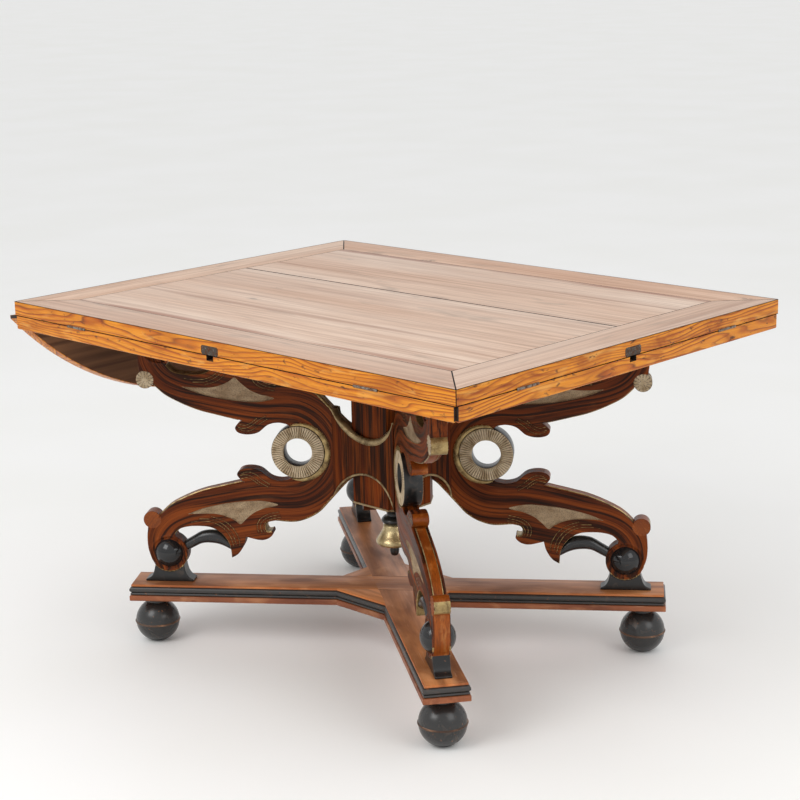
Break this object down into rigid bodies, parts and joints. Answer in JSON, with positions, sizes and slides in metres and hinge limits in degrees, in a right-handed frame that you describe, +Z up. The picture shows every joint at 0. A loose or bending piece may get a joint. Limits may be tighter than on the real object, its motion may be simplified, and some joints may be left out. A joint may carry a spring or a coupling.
{
  "type": "gaming table",
  "caption": "Rectangular gaming table on carved scroll legs, a central column and a cross stretcher with ball feet, its curved leaves folding under the top.",
  "frame": {"origin": "on the floor at the middle of the footprint, with one leaf hanging at -X", "axes": "+X along the top's long side, away from the hanging leaf; +Y across the top; +Z up"},
  "size_m": [1.3056, 1.0054, 0.77],
  "materials": {
    "bleached_pine": "bleached, softly worn pine with a satin face",
    "varnished_pine": "orange varnish over plain-sawn pine, satin",
    "painted_rosewood": "red-brown and near-black painted graining, satin",
    "worn_brown_paint": "brown paint worn to the wood on its arrises",
    "ebonised_wood": "black polish over turned and carved wood, half gloss",
    "aged_gilt": "bronze and gilt paint over carved wood, dulled with age",
    "worn_iron": "brown-patinated wrought iron"
  },
  "bodies": {
    "root": {"back_catch_plate": "worn_iron", "back_field_board": "bleached_pine", "back_gusset": "worn_brown_paint", "back_rail": "varnished_pine", "back_rail_hinge_a": "worn_iron", "back_rail_hinge_b": "worn_iron", "column": "painted_rosewood", "far_ball_foot": "ebonised_wood", "far_fluted_ring": "aged_gilt", "far_horn": "ebonised_wood", "far_leg_board": "painted_rosewood", "far_scroll_ball": "ebonised_wood", "front_catch_plate": "worn_iron", "front_field_board": "bleached_pine", "front_gusset": "worn_brown_paint", "front_rail": "varnished_pine", "front_rail_hinge_a": "worn_iron", "front_rail_hinge_b": "worn_iron", "lapped_stretcher": "worn_brown_paint", "left_ball_foot": "ebonised_wood", "left_catch_plate": "worn_iron", "left_fluted_ring": "aged_gilt", "left_gusset": "worn_brown_paint", "left_horn": "ebonised_wood", "left_leg_board": "painted_rosewood", "left_rail": "varnished_pine", "left_rail_hinge_a": "worn_iron", "left_rail_hinge_b": "worn_iron", "left_scroll_ball": "ebonised_wood", "near_ball_foot": "ebonised_wood", "near_fluted_ring": "aged_gilt", "near_horn": "ebonised_wood", "near_leg_board": "painted_rosewood", "near_scroll_ball": "ebonised_wood", "pendant": "aged_gilt", "right_ball_foot": "ebonised_wood", "right_catch_plate": "worn_iron", "right_fluted_ring": "aged_gilt", "right_gusset": "worn_brown_paint", "right_horn": "ebonised_wood", "right_leg_board": "painted_rosewood", "right_rail": "varnished_pine", "right_rail_hinge_a": "worn_iron", "right_rail_hinge_b": "worn_iron", "right_scroll_ball": "ebonised_wood", "through_stretcher": "worn_brown_paint"},
    "front_leaf_body": {"front_leaf": "varnished_pine", "front_leaf_hinge_a": "worn_iron", "front_leaf_hinge_b": "worn_iron"},
    "right_leaf_body": {"right_leaf": "varnished_pine", "right_leaf_hinge_a": "worn_iron", "right_leaf_hinge_b": "worn_iron"},
    "back_leaf_body": {"back_leaf": "varnished_pine", "back_leaf_hinge_a": "worn_iron", "back_leaf_hinge_b": "worn_iron"},
    "left_leaf_body": {"left_leaf": "varnished_pine", "left_leaf_hinge_a": "worn_iron", "left_leaf_hinge_b": "worn_iron"}
  },
  "joints": [
    {"name": "front_leaf_hinge", "type": "hinge", "parent": "root", "child": "front_leaf_body", "pos_m": [0.01312, -0.4993, 0.74], "axis": [-1, 0, 0], "range_deg": [0, 180]},
    {"name": "right_leaf_hinge", "type": "hinge", "parent": "root", "child": "right_leaf_body", "pos_m": [0.64942, 0, 0.74], "axis": [0, -1, 0], "range_deg": [0, 180]},
    {"name": "back_leaf_hinge", "type": "hinge", "parent": "root", "child": "back_leaf_body", "pos_m": [0.01312, 0.4993, 0.74], "axis": [1, 0, 0], "range_deg": [0, 180]},
    {"name": "left_leaf_hinge", "type": "hinge", "parent": "root", "child": "left_leaf_body", "pos_m": [-0.62318, 0, 0.74], "axis": [0, 1, 0], "range_deg": [-81.19, 98.81]}
  ]
}
